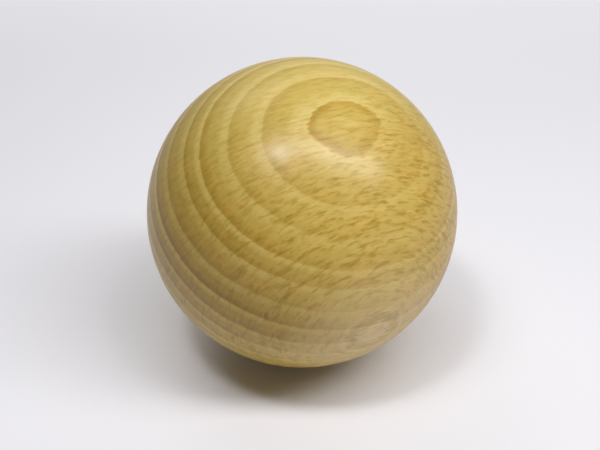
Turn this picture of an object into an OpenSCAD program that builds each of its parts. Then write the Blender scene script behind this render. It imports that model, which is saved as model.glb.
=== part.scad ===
// Plain turned wooden ball.
// One solid, undrilled, turned and sanded from a single blank.
// The centre of the ball is the origin and +Z points up.

/* [Ball] */
// Diameter of the finished ball, in mm
ball_d = 50; // [15:1:100]

/* [Hidden] */

// Segments round the ball's widest circle
ball_facets = 144;
// Colour of clear-finished beech
beech = "#c9a968";

// The ball is a true sphere, centred on the origin.
module ball() {
    color(beech)
        sphere(d = ball_d, $fn = ball_facets);
}

ball();
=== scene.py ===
"""Plain turned beech ball: its wood, its satin finish and the studio that it lies in.

The wood is one solid pattern. Growth rings are tubes round the pith of the tree, rays are thin
upright sheets that run out from the pith, and fibres run along the trunk. The ball's surface cuts
through them, so rings, flecks and end grain join up on every side.
"""

import math
from itertools import accumulate

import bpy
from mathutils import Matrix, Vector


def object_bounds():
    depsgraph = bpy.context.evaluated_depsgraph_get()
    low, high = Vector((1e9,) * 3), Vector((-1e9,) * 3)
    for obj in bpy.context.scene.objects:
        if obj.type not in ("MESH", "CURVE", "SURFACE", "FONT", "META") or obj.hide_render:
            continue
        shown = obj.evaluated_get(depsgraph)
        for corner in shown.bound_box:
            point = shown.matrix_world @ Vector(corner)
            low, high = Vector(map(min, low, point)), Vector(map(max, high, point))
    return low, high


bl_info = {
    "name": "Turned Beech Ball",
    "version": (1, 0, 0),
    "blender": (4, 5, 0),
    "location": "View3D > Sidebar > Beech Ball",
    "description": "Finishes a plain turned ball as clear-coated beech and lights it on a pale table",
    "category": "Material",
}

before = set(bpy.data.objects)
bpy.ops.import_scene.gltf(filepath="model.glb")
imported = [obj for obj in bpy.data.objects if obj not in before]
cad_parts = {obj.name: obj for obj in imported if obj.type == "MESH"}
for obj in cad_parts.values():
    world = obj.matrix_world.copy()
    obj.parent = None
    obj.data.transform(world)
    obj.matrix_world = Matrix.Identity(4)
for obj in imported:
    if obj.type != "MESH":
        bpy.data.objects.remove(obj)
CAD_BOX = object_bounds()

BALL_NODE = "ball"

MM = 0.001
BALL_RADIUS = (CAD_BOX[1].z - CAD_BOX[0].z) / 2
BALL_CENTRE = (CAD_BOX[0] + CAD_BOX[1]) / 2

# Growth rings in mm, from the side of the ball that faced the pith to the side that faced the bark.
# Only the last part of the first ring is in the ball.
RING_WIDTHS = (1.0, 2.6, 3.0, 3.6, 2.6, 3.7, 3.7, 3.4, 3.1, 3.2, 2.6, 3.4, 3.0, 2.4, 3.3, 2.9, 3.1, 3.3)
FIRST_RING_SHOWN = 0.6 * MM


def linear(red, green, blue):
    """Turns an 8-bit screen colour into the linear colour that the shaders work in."""
    shares = (value / 255 for value in (red, green, blue))
    return tuple(s / 12.92 if s <= 0.04045 else ((s + 0.055) / 1.055) ** 2.4 for s in shares)


# ---------------------------------------------------------------------------
# Settings
# ---------------------------------------------------------------------------


class BeechBlank(bpy.types.PropertyGroup):
    """How the ball was cut out of the tree."""

    grain_turn: bpy.props.FloatVectorProperty(
        name="Grain turn",
        description="Turn of the wood in the ball: X runs along the fibres and Z points at the pith",
        subtype="EULER",
        default=[math.radians(angle) for angle in (33.6, 6.0, 20.6)],
    )
    pith_distance: bpy.props.FloatProperty(
        name="Distance to the pith",
        description="From the centre of the ball to the middle of the tree, which bends the rings",
        unit="LENGTH",
        default=101 * MM,
        min=30 * MM,
    )
    ring_widths: bpy.props.FloatVectorProperty(
        name="Ring widths",
        description="Width of each growth ring, starting on the side of the pith",
        unit="LENGTH",
        size=len(RING_WIDTHS),
        default=[width * MM for width in RING_WIDTHS],
        min=0.3 * MM,
    )
    spiral_grain: bpy.props.FloatProperty(
        name="Spiral grain",
        description="How far the fibres wind round the trunk, away from straight",
        subtype="ANGLE",
        default=math.radians(8),
    )


class BeechColours(bpy.types.PropertyGroup):
    """The colours of the wood under its clear coat."""

    spring_wood: bpy.props.FloatVectorProperty(
        name="Spring wood",
        description="Pale wood at the start of each ring",
        subtype="COLOR",
        default=linear(222, 202, 129),
        min=0,
        max=1,
    )
    summer_wood: bpy.props.FloatVectorProperty(
        name="Summer wood",
        description="Plain wood in the middle of each ring",
        subtype="COLOR",
        default=linear(190, 162, 78),
        min=0,
        max=1,
    )
    autumn_wood: bpy.props.FloatVectorProperty(
        name="Autumn wood",
        description="Dark edge at the end of each ring",
        subtype="COLOR",
        default=linear(163, 127, 34),
        min=0,
        max=1,
    )
    ray_fleck: bpy.props.FloatVectorProperty(
        name="Ray flecks",
        description="What the thickest rays leave of the wood's colour where they end in the surface",
        subtype="COLOR",
        default=linear(193, 176, 99),
        min=0,
        max=1,
    )
    ray_flake: bpy.props.FloatVectorProperty(
        name="Ray flakes",
        description="Pale colour of the rays where they are sliced flat",
        subtype="COLOR",
        default=linear(222, 200, 160),
        min=0,
        max=1,
    )
    warm_stain: bpy.props.FloatVectorProperty(
        name="Warm stain",
        description="Warmer colour that clouds the wood here and there",
        subtype="COLOR",
        default=linear(203, 150, 62),
        min=0,
        max=1,
    )


class StudioStage(bpy.types.PropertyGroup):
    """The table and the camera."""

    table_colour: bpy.props.FloatVectorProperty(
        name="Table colour",
        description="Plain pale surface under the ball, and the pale room round it",
        subtype="COLOR",
        default=linear(232, 231, 236),
        min=0,
        max=1,
    )
    camera_height: bpy.props.FloatProperty(
        name="Camera height",
        description="Angle of the line of sight above the table",
        subtype="ANGLE",
        default=math.radians(30),
    )
    camera_lens: bpy.props.FloatProperty(
        name="Focal length",
        description="Focal length of the camera, in millimetres",
        default=55.16,
        min=10,
    )


# ---------------------------------------------------------------------------
# Small helpers for shader nodes
# ---------------------------------------------------------------------------


class NodeDesk:
    """Adds nodes to one node tree. An input may be a number, a colour or another node's output."""

    def __init__(self, tree):
        self.tree = tree
        self.tree.nodes.clear()

    def add(self, kind, label, inputs=None, **settings):
        node = self.tree.nodes.new(kind)
        node.label = label
        for name, value in settings.items():
            setattr(node, name, value)
        for name, value in (inputs or {}).items():
            self.feed(node, name, value)
        return node

    def feed(self, node, name, value):
        if isinstance(value, bpy.types.NodeSocket):
            self.tree.links.new(value, node.inputs[name])
        else:
            node.inputs[name].default_value = value

    def math(self, operation, label, *values):
        inputs = dict(enumerate(values))
        return self.add("ShaderNodeMath", label, inputs, operation=operation).outputs[0]

    def vector(self, operation, label, *values):
        inputs = dict(enumerate(values))
        return self.add("ShaderNodeVectorMath", label, inputs, operation=operation).outputs[0]

    def measure(self, operation, label, *values):
        """Makes one number out of vectors, such as a length."""
        inputs = dict(enumerate(values))
        return self.add("ShaderNodeVectorMath", label, inputs, operation=operation).outputs["Value"]

    def scaled(self, label, vector, factor):
        inputs = {"Vector": vector, "Scale": factor}
        return self.add("ShaderNodeVectorMath", label, inputs, operation="SCALE").outputs[0]

    def combine(self, label, x, y, z):
        return self.add("ShaderNodeCombineXYZ", label, {"X": x, "Y": y, "Z": z}).outputs[0]

    def separate(self, label, vector):
        return self.add("ShaderNodeSeparateXYZ", label, {"Vector": vector}).outputs

    def in_turned_frame(self, label, vector, angles):
        """The vector as it reads along axes that are turned by these angles."""
        inputs = {"Vector": vector, "Rotation": angles}
        settings = {"rotation_type": "EULER_XYZ", "invert": True}
        return self.add("ShaderNodeVectorRotate", label, inputs, **settings).outputs[0]

    def noise(self, label, vector, scale=1.0, detail=2.0, roughness=0.5):
        inputs = {"Vector": vector, "Scale": scale, "Detail": detail, "Roughness": roughness}
        return self.add("ShaderNodeTexNoise", label, inputs)

    def remap(self, label, value, low, high, to_low=0.0, to_high=1.0, smooth=False):
        inputs = {"Value": value, "From Min": low, "From Max": high, "To Min": to_low, "To Max": to_high}
        settings = {"interpolation_type": "SMOOTHSTEP"} if smooth else {}
        return self.add("ShaderNodeMapRange", label, inputs, **settings).outputs[0]

    def curve(self, label, value, points):
        """Straight lines through the points, which run from 0 to 1."""
        node = self.add("ShaderNodeFloatCurve", label, {"Value": value})
        curve = node.mapping.curves[0]
        curve.points[0].location = points[0]
        curve.points[1].location = points[-1]
        for place, height in points[1:-1]:
            curve.points.new(place, height)
        for point in curve.points:
            point.handle_type = "VECTOR"
        node.mapping.update()
        return node.outputs[0]

    def mix(self, label, factor, first, second):
        """Mixes two colours, which are the node's sockets 6 and 7 going in and 2 coming out."""
        node = self.add("ShaderNodeMix", label, {0: factor, 6: first, 7: second}, data_type="RGBA")
        return node.outputs[2]


def new_material(name):
    """An empty material, and the desk that it is made on."""
    material = bpy.data.materials.new(name)
    material.use_nodes = True
    return material, NodeDesk(material.node_tree)


def opaque(colour):
    return (*colour, 1.0)


# ---------------------------------------------------------------------------
# The wood
# ---------------------------------------------------------------------------

# Slow waves in the grain, in mm, which keep rings and rays from looking drawn with a compass
WAVE_SIZE = 0.9
WAVE_LENGTH = 16.0

# Where each colour is at its purest, as a share of one ring
RING_STOPS = (
    (0.04, "spring_wood"),
    (0.16, "spring_wood"),
    (0.42, "summer_wood"),
    (0.62, "summer_wood"),
    (0.88, "autumn_wood"),
    (0.97, "autumn_wood"),
)
# Ring edges are ragged: how far they stray, and how long and how wide the rags are, in mm
RAG_SIZE = 0.36
RAG_LENGTH = 2.4
RAG_WIDTH = 0.8
# Depth from the side of the pith as a share of the ball, and how strongly the rings show there
RING_STRENGTHS = (
    (0.00, 0.85),
    (0.0112, 0.85),
    (0.0135, 0.45),
    (0.03, 0.38),
    (0.06, 0.28),
    (0.14, 0.32),
    (0.19, 0.60),
    (0.22, 0.58),
    (0.26, 0.42),
    (0.33, 0.44),
    (0.38, 0.86),
    (0.41, 0.86),
    (0.46, 0.62),
    (0.56, 0.40),
    (0.70, 0.60),
    (1.00, 0.65),
)
# The innermost ring is pinched by this many mm. The pinch fades out down to this depth, as a share of
# the ball, and grows from the first to the second place round the tree, in mm.
PINCH = 0.31
PINCH_DEPTH = 0.06
PINCH_PLACES = (2.5, -2.5)
# Towards one end of the trunk, and to one side of it, the rings are at their strongest and the rays at
# their faintest. The wood turns plain this way, as shares along the trunk, round it and outward, and
# between these places in mm.
PLAIN_WAY = (1.0, -0.7, 0.0)
RINGED_PLACE = -12.0
PLAIN_PLACE = 12.0
# The share that is left of the rings' strength in plain wood, and of the rays' in ringed wood
RINGS_IN_PLAIN_WOOD = 0.40
RAYS_IN_RINGED_WOOD = 0.60

# Soft patterns: the size of each in mm, along the fibres, round the tree and outward, and how far the
# tone of the wood swings with it
STREAKS = ((2.4, 0.42, 0.42), 0.06)
STRIPES = ((2.8, 0.75, 10.0), 0.08)
CLOUDS = ((6.0, 2.2, 3.0), 0.04)
# How much fine detail they have, and the values that nearly all of such a pattern lies between
SOFT_ROUGHNESS = 0.6
PATTERN_RANGE = (0.25, 0.75)
# The clouds carry the warm stain: the values where it starts and where it is full, and how much it is
STAINED_CLOUDS = (0.4, 0.7)
CLOUD_STAIN = 0.20

# Tone of the wood on the side of the pith
PITH_SIDE_TONE = 1.05
# Depth from that side as a share of the ball, and the share of the tone that is left there
DEPTH_TONES = (
    (0.00, 1.0),
    (0.10, 0.99),
    (0.20, 0.94),
    (0.30, 0.865),
    (0.38, 0.74),
    (0.46, 0.77),
    (0.58, 0.97),
    (1.00, 0.97),
)
# Each whole ring is lighter or darker by up to this share
RING_TONE = 0.025
# How much tone is lost where the fibres are cut square, and how closely the loss keeps to that place
END_GRAIN_LOSS = 0.20
END_GRAIN_SPREAD = 1.6
# Dark grain is warmer: how far red, green and blue follow the tone
GRAIN_TINT = (0.78, 1.06, 2.60)
# One side of the ball is painted paler and whiter, a painted sheen: the side that the overhead lamps light,
# the top as the camera sees it. Its rays are fainter there. The change runs round the tree between
# these places in mm.
PAINTED_SHEEN_SIDE = 14.0
UNSHEENED_SIDE = -6.0
RAYS_UNDER_PAINTED_SHEEN = 0.50
PAINTED_SHEEN_TINT = (1.05, 1.12, 1.18)

# Each kind of ray: its size along the fibres, round the tree and outward in mm, the part of the pattern
# where it starts to show and where it shows in full, and how strongly it shows
BROAD_RAYS = ((2.5, 0.78, 2.6), 0.53, 0.72, 0.50)
NARROW_RAYS = ((1.5, 0.46, 1.8), 0.50, 0.76, 0.41)
# Rays are packed closer away from the middle of the ball: they would meet at this many mm from it, and
# the packing stops at this share of the way there
RAY_PACKING = 27.0
PACKING_STOP = 0.98
# How far the edges of the rays wander round the tree, in mm
RAY_WANDER = 0.3
# Broad rays come and go with the soft stripes: the values of the stripes where a gap is at its emptiest
# and where it ends, and the share of the rays that is left in it
GAP_STRIPES = (0.38, 0.60)
RAYS_IN_GAPS = 0.60
# Where the surface slices the rays flat, they pale to flakes. How flat the cut is, up to 1, where the
# flakes start and where they are full, and the share of their colour and of the dark rays there
FLAKE_START = 0.80
FLAKE_FULL = 0.99
FLAKE_SHEEN = 0.28
DARK_RAYS_ON_FLAKES = 0.85
# Flatter still, the sliced rays form pale and dark arcs: how flat the cut is where they start and where
# they are full, how far apart they are in depth and how far they wander, in mm
SLICE_START = 0.970
SLICE_FULL = 0.986
SLICE_SPACING = 0.62
SLICE_WANDER = 0.20
# The arcs swing between 1, the middle of a pale one, and -1, the middle of a dark one. Where in the
# swing each kind starts, and how strong it is in its middle
PALE_SLICE_START = -0.2
PALE_SLICES = 0.25
DARK_SLICE_START = 0.3
DARK_SLICES = 0.24

# The satin wood, with its least and most roughness, and the thin glossier coat over it
SATIN = (0.38, 0.46)
WOOD_IOR = 1.37
COAT_SHARE = 0.26
COAT_ROUGHNESS = 0.22
COAT_IOR = 1.5
# Depth of the open grain, and how far the broad rays sink into it
GRAIN_DEPTH = 0.009 * MM
RAY_SINK = 2.0


def grain_coordinates(desk, blank):
    """Place in the wood in mm: X along the fibres, Y round the tree, Z towards the pith."""
    place = desk.add("ShaderNodeTexCoord", "Place on the ball").outputs["Object"]
    in_mm = desk.scaled("Place in mm", place, 1 / MM)
    straight = desk.in_turned_frame("Turn into the grain", in_mm, Vector(blank.grain_turn))
    wave = desk.noise("Wave in the grain", straight, 1 / WAVE_LENGTH, detail=1.0).outputs["Color"]
    either_way = desk.vector("SUBTRACT", "Wave either way", wave, (0.5, 0.5, 0.5))
    return desk.vector("ADD", "Wavy grain", straight, desk.scaled("Wave size", either_way, WAVE_SIZE))


def tree_coordinates(desk, blank, grain):
    """Place along the tree, round it and out from its pith in mm, and the direction round the tree."""
    along, across, inward = desk.separate("Grain place", grain)
    pith = blank.pith_distance / MM
    outward = desk.math("SUBTRACT", "Outward", pith, inward)
    across_squared = desk.math("MULTIPLY", "Across squared", across, across)
    squares = desk.math("MULTIPLY_ADD", "Squares", outward, outward, across_squared)
    distance = desk.math("SQRT", "Distance from the pith", squares)
    angle = desk.math("ARCTAN2", "Angle round the pith", across, outward)
    around = desk.math("MULTIPLY", "Place round the tree", angle, pith)
    round_the_tree = desk.vector("NORMALIZE", "Round the tree", desk.combine("Turn", 0.0, outward, across))
    return desk.combine("Tree place", along, around, distance), round_the_tree


def surface_cut(desk, blank, round_the_tree):
    """How squarely the surface cuts the fibres, and how flat it slices the rays, each from 0 to 1."""
    facing = desk.add("ShaderNodeTexCoord", "Facing of the surface").outputs["Normal"]
    in_grain = desk.in_turned_frame("Facing in the grain", facing, Vector(blank.grain_turn))
    squarely = desk.math("ABSOLUTE", "End grain", desk.separate("Facing axes", in_grain)[0])
    spiral = blank.spiral_grain
    leaning = desk.scaled("Leaning rays", round_the_tree, math.cos(spiral))
    ray_facing = desk.vector("ADD", "Facing of the rays", leaning, (-math.sin(spiral), 0.0, 0.0))
    flat_cut = desk.measure("DOT_PRODUCT", "Rays against surface", in_grain, ray_facing)
    return squarely, desk.math("ABSOLUTE", "Flat cut of the rays", flat_cut)


def ball_span(blank):
    """Distance from the pith to the nearest and to the farthest place in the ball, in mm."""
    pith = blank.pith_distance / MM
    radius = BALL_RADIUS / MM
    return pith - radius, pith + radius


def ragged_distance(desk, blank, tree, fibre, around):
    """Distance from the pith in mm, with the ragged edges of the rings and the pinched innermost one."""
    rag_space = desk.vector("DIVIDE", "Rag space", fibre, (RAG_LENGTH, RAG_WIDTH, RAG_LENGTH))
    rags = desk.noise("Ragged edges", rag_space).outputs["Fac"]
    stray = desk.remap("Stray of the edge", rags, 0.0, 1.0, -RAG_SIZE / 2, RAG_SIZE / 2)
    distance = desk.separate("Smooth place", tree)[2]
    nearest, farthest = ball_span(blank)
    pinch_end = nearest + (farthest - nearest) * PINCH_DEPTH
    innermost = desk.remap("Innermost wood", distance, nearest, pinch_end, 1.0, 0.0, smooth=True)
    side = desk.remap("Pinched side", around, *PINCH_PLACES, smooth=True)
    pinched = desk.math("MULTIPLY", "Pinched wood", innermost, side)
    stray = desk.math("MULTIPLY_ADD", "Stray with the pinch", pinched, PINCH, stray)
    return desk.math("ADD", "Ragged distance", distance, stray)


def ring_pattern(desk, blank, distance):
    """How far through its ring each place is, from 0 at the start of spring to 1 at the end of autumn,
    and the number of its ring."""
    widths = [width / MM for width in blank.ring_widths]
    first_edge = (blank.pith_distance - BALL_RADIUS + FIRST_RING_SHOWN) / MM - widths[0]
    edges = [first_edge + total for total in accumulate(widths, initial=0.0)]
    span = edges[-1] - edges[0]
    share = desk.remap("Share of the wood", distance, edges[0], edges[-1])
    counts = [((edge - edges[0]) / span, number / len(widths)) for number, edge in enumerate(edges)]
    rings = desk.math("MULTIPLY", "Ring number", desk.curve("Ring count", share, counts), float(len(widths)))
    return desk.math("FRACT", "Part of the ring", rings), desk.math("FLOOR", "Whole rings", rings)


def ringed_wood(desk, tree):
    """1 where the rings are at their strongest, falling to 0 in plain wood."""
    place = desk.measure("DOT_PRODUCT", "Place on the plain way", tree, PLAIN_WAY)
    return desk.remap("Ringed wood", place, RINGED_PLACE, PLAIN_PLACE, 1.0, 0.0, smooth=True)


def ring_colour(desk, colours, part, depth, ringed):
    """Pale spring wood just past each edge, then plain wood that darkens to the end of autumn."""
    ramp = desk.add("ShaderNodeValToRGB", "Ring colours", {"Fac": part})
    stops = ramp.color_ramp.elements
    edge = [(spring + autumn) / 2 for spring, autumn in zip(colours.spring_wood, colours.autumn_wood)]
    stops[0].position = 0.0
    stops[0].color = opaque(edge)
    stops[1].position = 1.0
    stops[1].color = opaque(edge)
    for position, colour in RING_STOPS:
        stop = stops.new(position)
        stop.color = opaque(getattr(colours, colour))
    endways = desk.remap("Rings endways", ringed, 0.0, 1.0, RINGS_IN_PLAIN_WOOD, 1.0)
    outward = desk.curve("Rings outward", depth, RING_STRENGTHS)
    strength = desk.math("MULTIPLY", "Ring strength", outward, endways)
    return desk.mix("Rings in the wood", strength, opaque(colours.summer_wood), ramp.outputs["Color"])


def soft_pattern(desk, label, fibre, size, swing):
    """A soft pattern stretched to the given size, and a tone that swings with it round 1."""
    space = desk.vector("DIVIDE", label + " space", fibre, size)
    pattern = desk.noise(label, space, roughness=SOFT_ROUGHNESS).outputs["Fac"]
    return pattern, desk.remap(label + " tone", pattern, *PATTERN_RANGE, 1 - swing, 1 + swing)


def wood_tone(desk, soft_tones, whole_rings, depth, end_grain):
    """How light the wood is: the soft patterns, each ring's own tone, the depth and the end grain."""
    chance = desk.add("ShaderNodeTexWhiteNoise", "Mood of the ring", {"W": whole_rings},
                      noise_dimensions="1D").outputs["Value"]
    ring_tone = desk.remap("Ring tone", chance, 0.0, 1.0, 1 - RING_TONE, 1 + RING_TONE)
    deeper = desk.curve("Tone left at depth", depth, DEPTH_TONES)
    depth_tone = desk.math("MULTIPLY", "Depth tone", deeper, PITH_SIDE_TONE)
    end_loss = desk.math("POWER", "End grain depth", end_grain, END_GRAIN_SPREAD)
    end_tone = desk.remap("End grain tone", end_loss, 0.0, 1.0, 1.0, 1 - END_GRAIN_LOSS)
    tone, *other_tones = (*soft_tones, ring_tone, depth_tone, end_tone)
    for other in other_tones:
        tone = desk.math("MULTIPLY", "Tone", tone, other)
    return tone


def ray_place(desk, fibre, around, streaks):
    """Place in the wood for the rays, which wander and are packed closer away from the middle."""
    share = desk.math("DIVIDE", "Share of the packing", around, RAY_PACKING)
    kept = desk.remap("Share kept", share, -PACKING_STOP, PACKING_STOP, -PACKING_STOP, PACKING_STOP)
    packed = desk.math("MULTIPLY", "Packed place", desk.math("ARCSINE", "Packing", kept), RAY_PACKING)
    wander = desk.remap("Wander", streaks, 0.0, 1.0, -RAY_WANDER, RAY_WANDER)
    wandering = desk.math("ADD", "Wandering place", packed, wander)
    along, _, distance = desk.separate("Ray axes", fibre)
    return desk.combine("Ray place", along, wandering, distance)


def ray_layer(desk, label, place, kind):
    """Thin sheets of ray tissue that run out from the pith: strongest inside a ray and 0 outside."""
    size, start, full, strength = kind
    space = desk.vector("DIVIDE", label + " space", place, size)
    pattern = desk.noise(label, space, detail=1.0).outputs["Fac"]
    return desk.remap(label + " sheets", pattern, start, full, 0.0, strength, smooth=True)


def dark_rays(desk, place, stripes, ringed, painted_sheen, flakes):
    """The dark ends of all the rays, and the broad rays before they fade on flakes and under the painted
    sheen.
    """
    gaps = desk.remap("Gaps in the rays", stripes, *GAP_STRIPES, RAYS_IN_GAPS, 1.0, smooth=True)
    sheets = ray_layer(desk, "Broad rays", place, BROAD_RAYS)
    broad = desk.math("MULTIPLY", "Broad rays with gaps", sheets, gaps)
    dark = desk.math("ADD", "Dark rays", broad, ray_layer(desk, "Narrow rays", place, NARROW_RAYS))
    fainter = (
        ("in ringed wood", ringed, RAYS_IN_RINGED_WOOD),
        # The rays fade under the painted sheen on the lamp-facing side
        ("under the painted sheen", painted_sheen, RAYS_UNDER_PAINTED_SHEEN),
        ("on flakes", flakes, DARK_RAYS_ON_FLAKES),
    )
    for label, amount, share in fainter:
        kept = desk.remap("Rays " + label, amount, 0.0, 1.0, 1.0, share)
        dark = desk.math("MULTIPLY", "Dark rays " + label, dark, kept)
    return dark, broad


def sliced_rays(desk, flat_cut, around, streaks):
    """Pale and dark arcs round the place where the surface lies flat in the rays, which it slices thinly."""
    sliced = desk.remap("Sliced rays", flat_cut, SLICE_START, SLICE_FULL, smooth=True)
    wander = desk.remap("Wander of the slices", streaks, *PATTERN_RANGE, -SLICE_WANDER, SLICE_WANDER)
    from_middle = desk.math("ADD", "Height of the slices", around, wander)
    flattest = SLICE_SPACING / 2 - BALL_RADIUS / MM
    height = desk.math("SUBTRACT", "Height over the flattest place", from_middle, flattest)
    swing = desk.math("COSINE", "Slices", desk.math("MULTIPLY", "Turns", height, math.tau / SLICE_SPACING))
    pale = desk.remap("Pale slices", swing, PALE_SLICE_START, 1.0, 0.0, PALE_SLICES, smooth=True)
    dark = desk.remap("Dark slices", swing, DARK_SLICE_START, -1.0, 0.0, DARK_SLICES, smooth=True)
    return (desk.math("MULTIPLY", "Pale slices here", pale, sliced),
            desk.math("MULTIPLY", "Dark slices here", dark, sliced))


def clear_coated(desk, wood, streaks, broad_rays):
    """Satin wood with open grain, under its thin and glossier clear coat."""
    sunk_rays = desk.math("MULTIPLY", "Sunk rays", broad_rays, RAY_SINK)
    relief = desk.math("SUBTRACT", "Relief", streaks, sunk_rays)
    open_grain = {"Strength": 1.0, "Distance": GRAIN_DEPTH, "Height": relief}
    return desk.add("ShaderNodeBsdfPrincipled", "Clear-coated beech", {
        "Base Color": wood,
        "Roughness": desk.remap("Satin", streaks, *PATTERN_RANGE, *SATIN),
        "IOR": WOOD_IOR,
        "Coat Weight": COAT_SHARE,
        "Coat Roughness": COAT_ROUGHNESS,
        "Coat IOR": COAT_IOR,
        "Normal": desk.add("ShaderNodeBump", "Open grain", open_grain).outputs["Normal"],
    })


def beech_material(settings):
    """Clear-coated beech, cut from one solid pattern of rings, rays and fibres."""
    blank = settings.beech_blank
    colours = settings.beech_colours
    material, desk = new_material("clear_coated_beech")

    # Places in the tree
    tree, round_the_tree = tree_coordinates(desk, blank, grain_coordinates(desk, blank))
    fibre = desk.in_turned_frame("Spiral grain", tree, (0.0, 0.0, blank.spiral_grain))
    around = desk.separate("Fibre axes", fibre)[1]
    end_grain, flat_cut = surface_cut(desk, blank, round_the_tree)

    # Rings
    distance = ragged_distance(desk, blank, tree, fibre, around)
    part, whole_rings = ring_pattern(desk, blank, distance)
    depth = desk.remap("Depth in the ball", distance, *ball_span(blank))
    ringed = ringed_wood(desk, tree)
    wood = ring_colour(desk, colours, part, depth, ringed)

    # Stain and tone
    clouds, cloud_tone = soft_pattern(desk, "Colour clouds", fibre, *CLOUDS)
    streaks, streak_tone = soft_pattern(desk, "Fibre streaks", fibre, *STREAKS)
    stripes, stripe_tone = soft_pattern(desk, "Ray stripes", fibre, *STRIPES)
    stain = desk.remap("Stain", clouds, *STAINED_CLOUDS, 0.0, CLOUD_STAIN, smooth=True)
    wood = desk.mix("Warm stain", stain, wood, opaque(colours.warm_stain))
    tone = wood_tone(desk, (streak_tone, stripe_tone, cloud_tone), whole_rings, depth, end_grain)
    wood = desk.vector("MULTIPLY", "Toned wood", wood, desk.vector("POWER", "Warm tone", tone, GRAIN_TINT))
    # Painted sheen: the side of the ball that the overhead lamps light is tinted paler and whiter
    unsheened_side = desk.remap("Side without painted sheen", around, PAINTED_SHEEN_SIDE, UNSHEENED_SIDE, smooth=True)
    side_tint = desk.mix("Painted sheen tint", unsheened_side, opaque(PAINTED_SHEEN_TINT), (1.0, 1.0, 1.0, 1.0))
    wood = desk.vector("MULTIPLY", "Wood with painted sheen", wood, side_tint)

    # Rays
    flakes = desk.remap("Flakes", flat_cut, FLAKE_START, FLAKE_FULL, smooth=True)
    # How much painted sheen there is, which also fades the rays
    painted_sheen = desk.math("SUBTRACT", "Painted sheen", 1.0, unsheened_side)
    place = ray_place(desk, fibre, around, streaks)
    dark, broad_rays = dark_rays(desk, place, stripes, ringed, painted_sheen, flakes)
    pale_slices, dark_slices = sliced_rays(desk, flat_cut, around, streaks)
    dark = desk.math("ADD", "Dark rays and slices", dark, dark_slices)
    fleck = desk.vector("POWER", "Fleck tint", Vector(colours.ray_fleck), dark)
    wood = desk.vector("MULTIPLY", "Rays in the wood", wood, fleck)
    pale_share = desk.math("MULTIPLY_ADD", "Flake share", flakes, FLAKE_SHEEN, pale_slices)
    wood = desk.mix("Flakes in the wood", pale_share, wood, opaque(colours.ray_flake))

    finish = clear_coated(desk, wood, streaks, broad_rays)
    desk.add("ShaderNodeOutputMaterial", "Surface", {"Surface": finish.outputs["BSDF"]})
    return material


# ---------------------------------------------------------------------------
# The studio
# ---------------------------------------------------------------------------

# How bright the pale room is in the ball's gloss, where 1 is as bright as the camera sees it
MIRRORED_ROOM = 0.52
TABLE_ROUGHNESS = 0.8
# The table reaches this far each way, in metres, and fades into the pale room between these distances
# from the ball, in ball radii
TABLE_HALF_WIDTH = 2.0
TABLE_FADE_START = 5.5
TABLE_FADE_END = 12.0
# Each lamp: its place and its two sides, in ball radii, its level, and whether the gloss mirrors it
LAMPS = {
    "middle_strip": ((-1.0, -4.0, 14.0), (12.0, 2.5), 0.46, True),
    "near_strip": ((-3.5, -4.9, 14.0), (2.2, 1.8), 0.19, True),
    "right_strip": ((10.0, -5.0, 14.0), (12.0, 4.5), 0.525, True),
    "back_panel": ((1.5, 14.0, 4.0), (17.0, 9.0), 0.45, False),
    "high_back_fill": ((-6.0, 9.0, 12.0), (8.0, 6.0), 0.09, True),
    "right_fill": ((12.0, -8.0, 1.2), (6.0, 2.4), 0.145, False),
}
# How far the camera is from the middle of the ball, in ball radii, and how far under and to the left
# of that middle it aims, in metres
CAMERA_DISTANCE = 6.0
AIM_DROP = 2.03 * MM
AIM_LEFT = 0.33 * MM


def floor_mesh(half_width, height):
    mesh = bpy.data.meshes.new("table_top")
    corners = [(x * half_width, y * half_width, height) for x, y in ((-1, -1), (1, -1), (1, 1), (-1, 1))]
    mesh.from_pydata(corners, [], [(0, 1, 2, 3)])
    return mesh


def room_strength(desk):
    """Full strength to the camera, less where it is mirrored or seen through glass, and none as light."""
    path = desk.add("ShaderNodeLightPath", "How the room is seen")
    mirrored = desk.math("MAXIMUM", "Mirrored or seen through", path.outputs["Is Glossy Ray"],
                         path.outputs["Is Transmission Ray"])
    return desk.math("MULTIPLY_ADD", "Room strength", mirrored, MIRRORED_ROOM, path.outputs["Is Camera Ray"])


def pale_table(settings):
    """The table keeps the shadow of the ball. Far from the ball it looks like the room behind it."""
    table = bpy.data.objects.new("table_top", floor_mesh(TABLE_HALF_WIDTH, CAD_BOX[0].z))
    bpy.context.scene.collection.objects.link(table)
    material, desk = new_material("pale_table")
    colour = opaque(settings.studio_stage.table_colour)
    near = desk.add("ShaderNodeBsdfPrincipled", "Pale table",
                    {"Base Color": colour, "Roughness": TABLE_ROUGHNESS})
    strength = room_strength(desk)
    far = desk.add("ShaderNodeEmission", "Far table", {"Color": colour, "Strength": strength})
    place = desk.add("ShaderNodeTexCoord", "Place on the table").outputs["Object"]
    distance = desk.measure("LENGTH", "Distance from the ball", place)
    fade = desk.remap("Fade", distance, TABLE_FADE_START * BALL_RADIUS, TABLE_FADE_END * BALL_RADIUS,
                      smooth=True)
    seen = desk.math("GREATER_THAN", "Seen rather than lit", strength, 0.0)
    share = desk.math("MULTIPLY", "Share of the far table", fade, seen)
    table_shader = desk.add("ShaderNodeMixShader", "Table and far table",
                            {0: share, 1: near.outputs["BSDF"], 2: far.outputs["Emission"]})
    desk.add("ShaderNodeOutputMaterial", "Surface", {"Surface": table_shader.outputs["Shader"]})
    table.data.materials.append(material)


def pale_surroundings(settings):
    """A pale room that the camera sees and the ball's gloss mirrors. It gives no light."""
    world = bpy.data.worlds.new("pale_surroundings")
    world.use_nodes = True
    desk = NodeDesk(world.node_tree)
    colour = opaque(settings.studio_stage.table_colour)
    background = desk.add("ShaderNodeBackground", "Pale surroundings",
                          {"Color": colour, "Strength": room_strength(desk)})
    desk.add("ShaderNodeOutputWorld", "World", {"Surface": background.outputs["Background"]})
    bpy.context.scene.world = world


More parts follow.
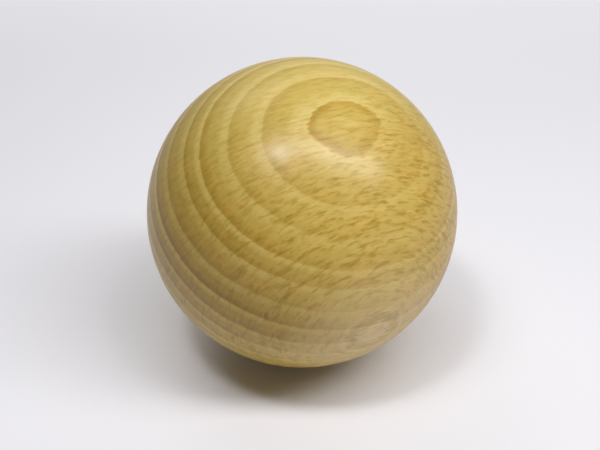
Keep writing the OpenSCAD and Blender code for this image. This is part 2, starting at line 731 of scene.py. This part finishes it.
def soft_lamp(name, place, size, level, mirrored):
    """A rectangular lamp that faces the ball with its long side along X. Its place and size are in ball
    radii. At level 1 a white card at the ball that faces the lamp would show as white. One that isn't
    mirrored gives light but no glare on the ball."""
    data = bpy.data.lights.new(name, "AREA")
    data.shape = "RECTANGLE"
    data.size = size[0] * BALL_RADIUS
    data.size_y = size[1] * BALL_RADIUS
    reach = Vector(place).length * BALL_RADIUS
    data.energy = level * (math.pi * reach) ** 2
    lamp = bpy.data.objects.new(name, data)
    lamp.location = BALL_CENTRE + Vector(place) * BALL_RADIUS
    back = Vector(place).normalized()
    side = (Vector((1.0, 0.0, 0.0)) - back * back.x).normalized()
    lamp.rotation_euler = Matrix((side, back.cross(side), back)).transposed().to_euler()
    lamp.visible_glossy = mirrored
    bpy.context.scene.collection.objects.link(lamp)


def studio_camera(settings):
    """A camera in front of the ball that looks down at it."""
    stage = settings.studio_stage
    data = bpy.data.cameras.new("studio_camera")
    data.lens = stage.camera_lens
    data.clip_start = 1 * MM
    camera = bpy.data.objects.new("studio_camera", data)
    height = stage.camera_height
    back = Vector((0.0, -math.cos(height), math.sin(height)))
    up = Vector((0.0, math.sin(height), math.cos(height)))
    aim = BALL_CENTRE - up * AIM_DROP - Vector((AIM_LEFT, 0.0, 0.0))
    camera.location = BALL_CENTRE + back * CAMERA_DISTANCE * BALL_RADIUS
    camera.rotation_euler = (aim - camera.location).to_track_quat("-Z", "Y").to_euler()
    bpy.context.scene.collection.objects.link(camera)
    bpy.context.scene.camera = camera


# ---------------------------------------------------------------------------
# Operators and panel
# ---------------------------------------------------------------------------


class BEECHBALL_OT_finish_ball(bpy.types.Operator):
    """Give the turned ball its beech grain and satin coat"""

    bl_idname = "beechball.finish_ball"
    bl_label = "Finish Ball"

    def execute(self, context):
        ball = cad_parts[BALL_NODE]
        material = beech_material(context.scene)
        ball.data.materials.clear()
        ball.data.materials.append(material)
        return {"FINISHED"}


class BEECHBALL_OT_set_stage(bpy.types.Operator):
    """Set up the pale table, the soft lamps and the camera"""

    bl_idname = "beechball.set_stage"
    bl_label = "Set Stage"

    def execute(self, context):
        scene = context.scene
        scene.view_settings.view_transform = "Standard"
        pale_table(scene)
        pale_surroundings(scene)
        for name, lamp in LAMPS.items():
            soft_lamp(name, *lamp)
        studio_camera(scene)
        return {"FINISHED"}


class BEECHBALL_PT_sidebar(bpy.types.Panel):
    """Lists the settings of the ball and the steps that finish it"""

    bl_idname = "BEECHBALL_PT_sidebar"
    bl_label = "Beech Ball"
    bl_space_type = "VIEW_3D"
    bl_region_type = "UI"
    bl_category = "Beech Ball"

    def draw(self, context):
        layout = self.layout
        for name, group in SETTINGS.items():
            box = layout.box()
            for setting in group.__annotations__:
                box.prop(getattr(context.scene, name), setting)
        for step in STEPS:
            layout.operator(step.bl_idname)


SETTINGS = {
    "beech_blank": BeechBlank,
    "beech_colours": BeechColours,
    "studio_stage": StudioStage,
}
STEPS = (BEECHBALL_OT_finish_ball, BEECHBALL_OT_set_stage)
CLASSES = (*SETTINGS.values(), *STEPS, BEECHBALL_PT_sidebar)


def register():
    for cls in CLASSES:
        bpy.utils.register_class(cls)
    for name, group in SETTINGS.items():
        setattr(bpy.types.Scene, name, bpy.props.PointerProperty(type=group))


def unregister():
    for name in SETTINGS:
        delattr(bpy.types.Scene, name)
    for cls in reversed(CLASSES):
        bpy.utils.unregister_class(cls)


def main():
    register()
    bpy.ops.beechball.finish_ball()
    bpy.ops.beechball.set_stage()


if __name__ == "__main__":
    main()
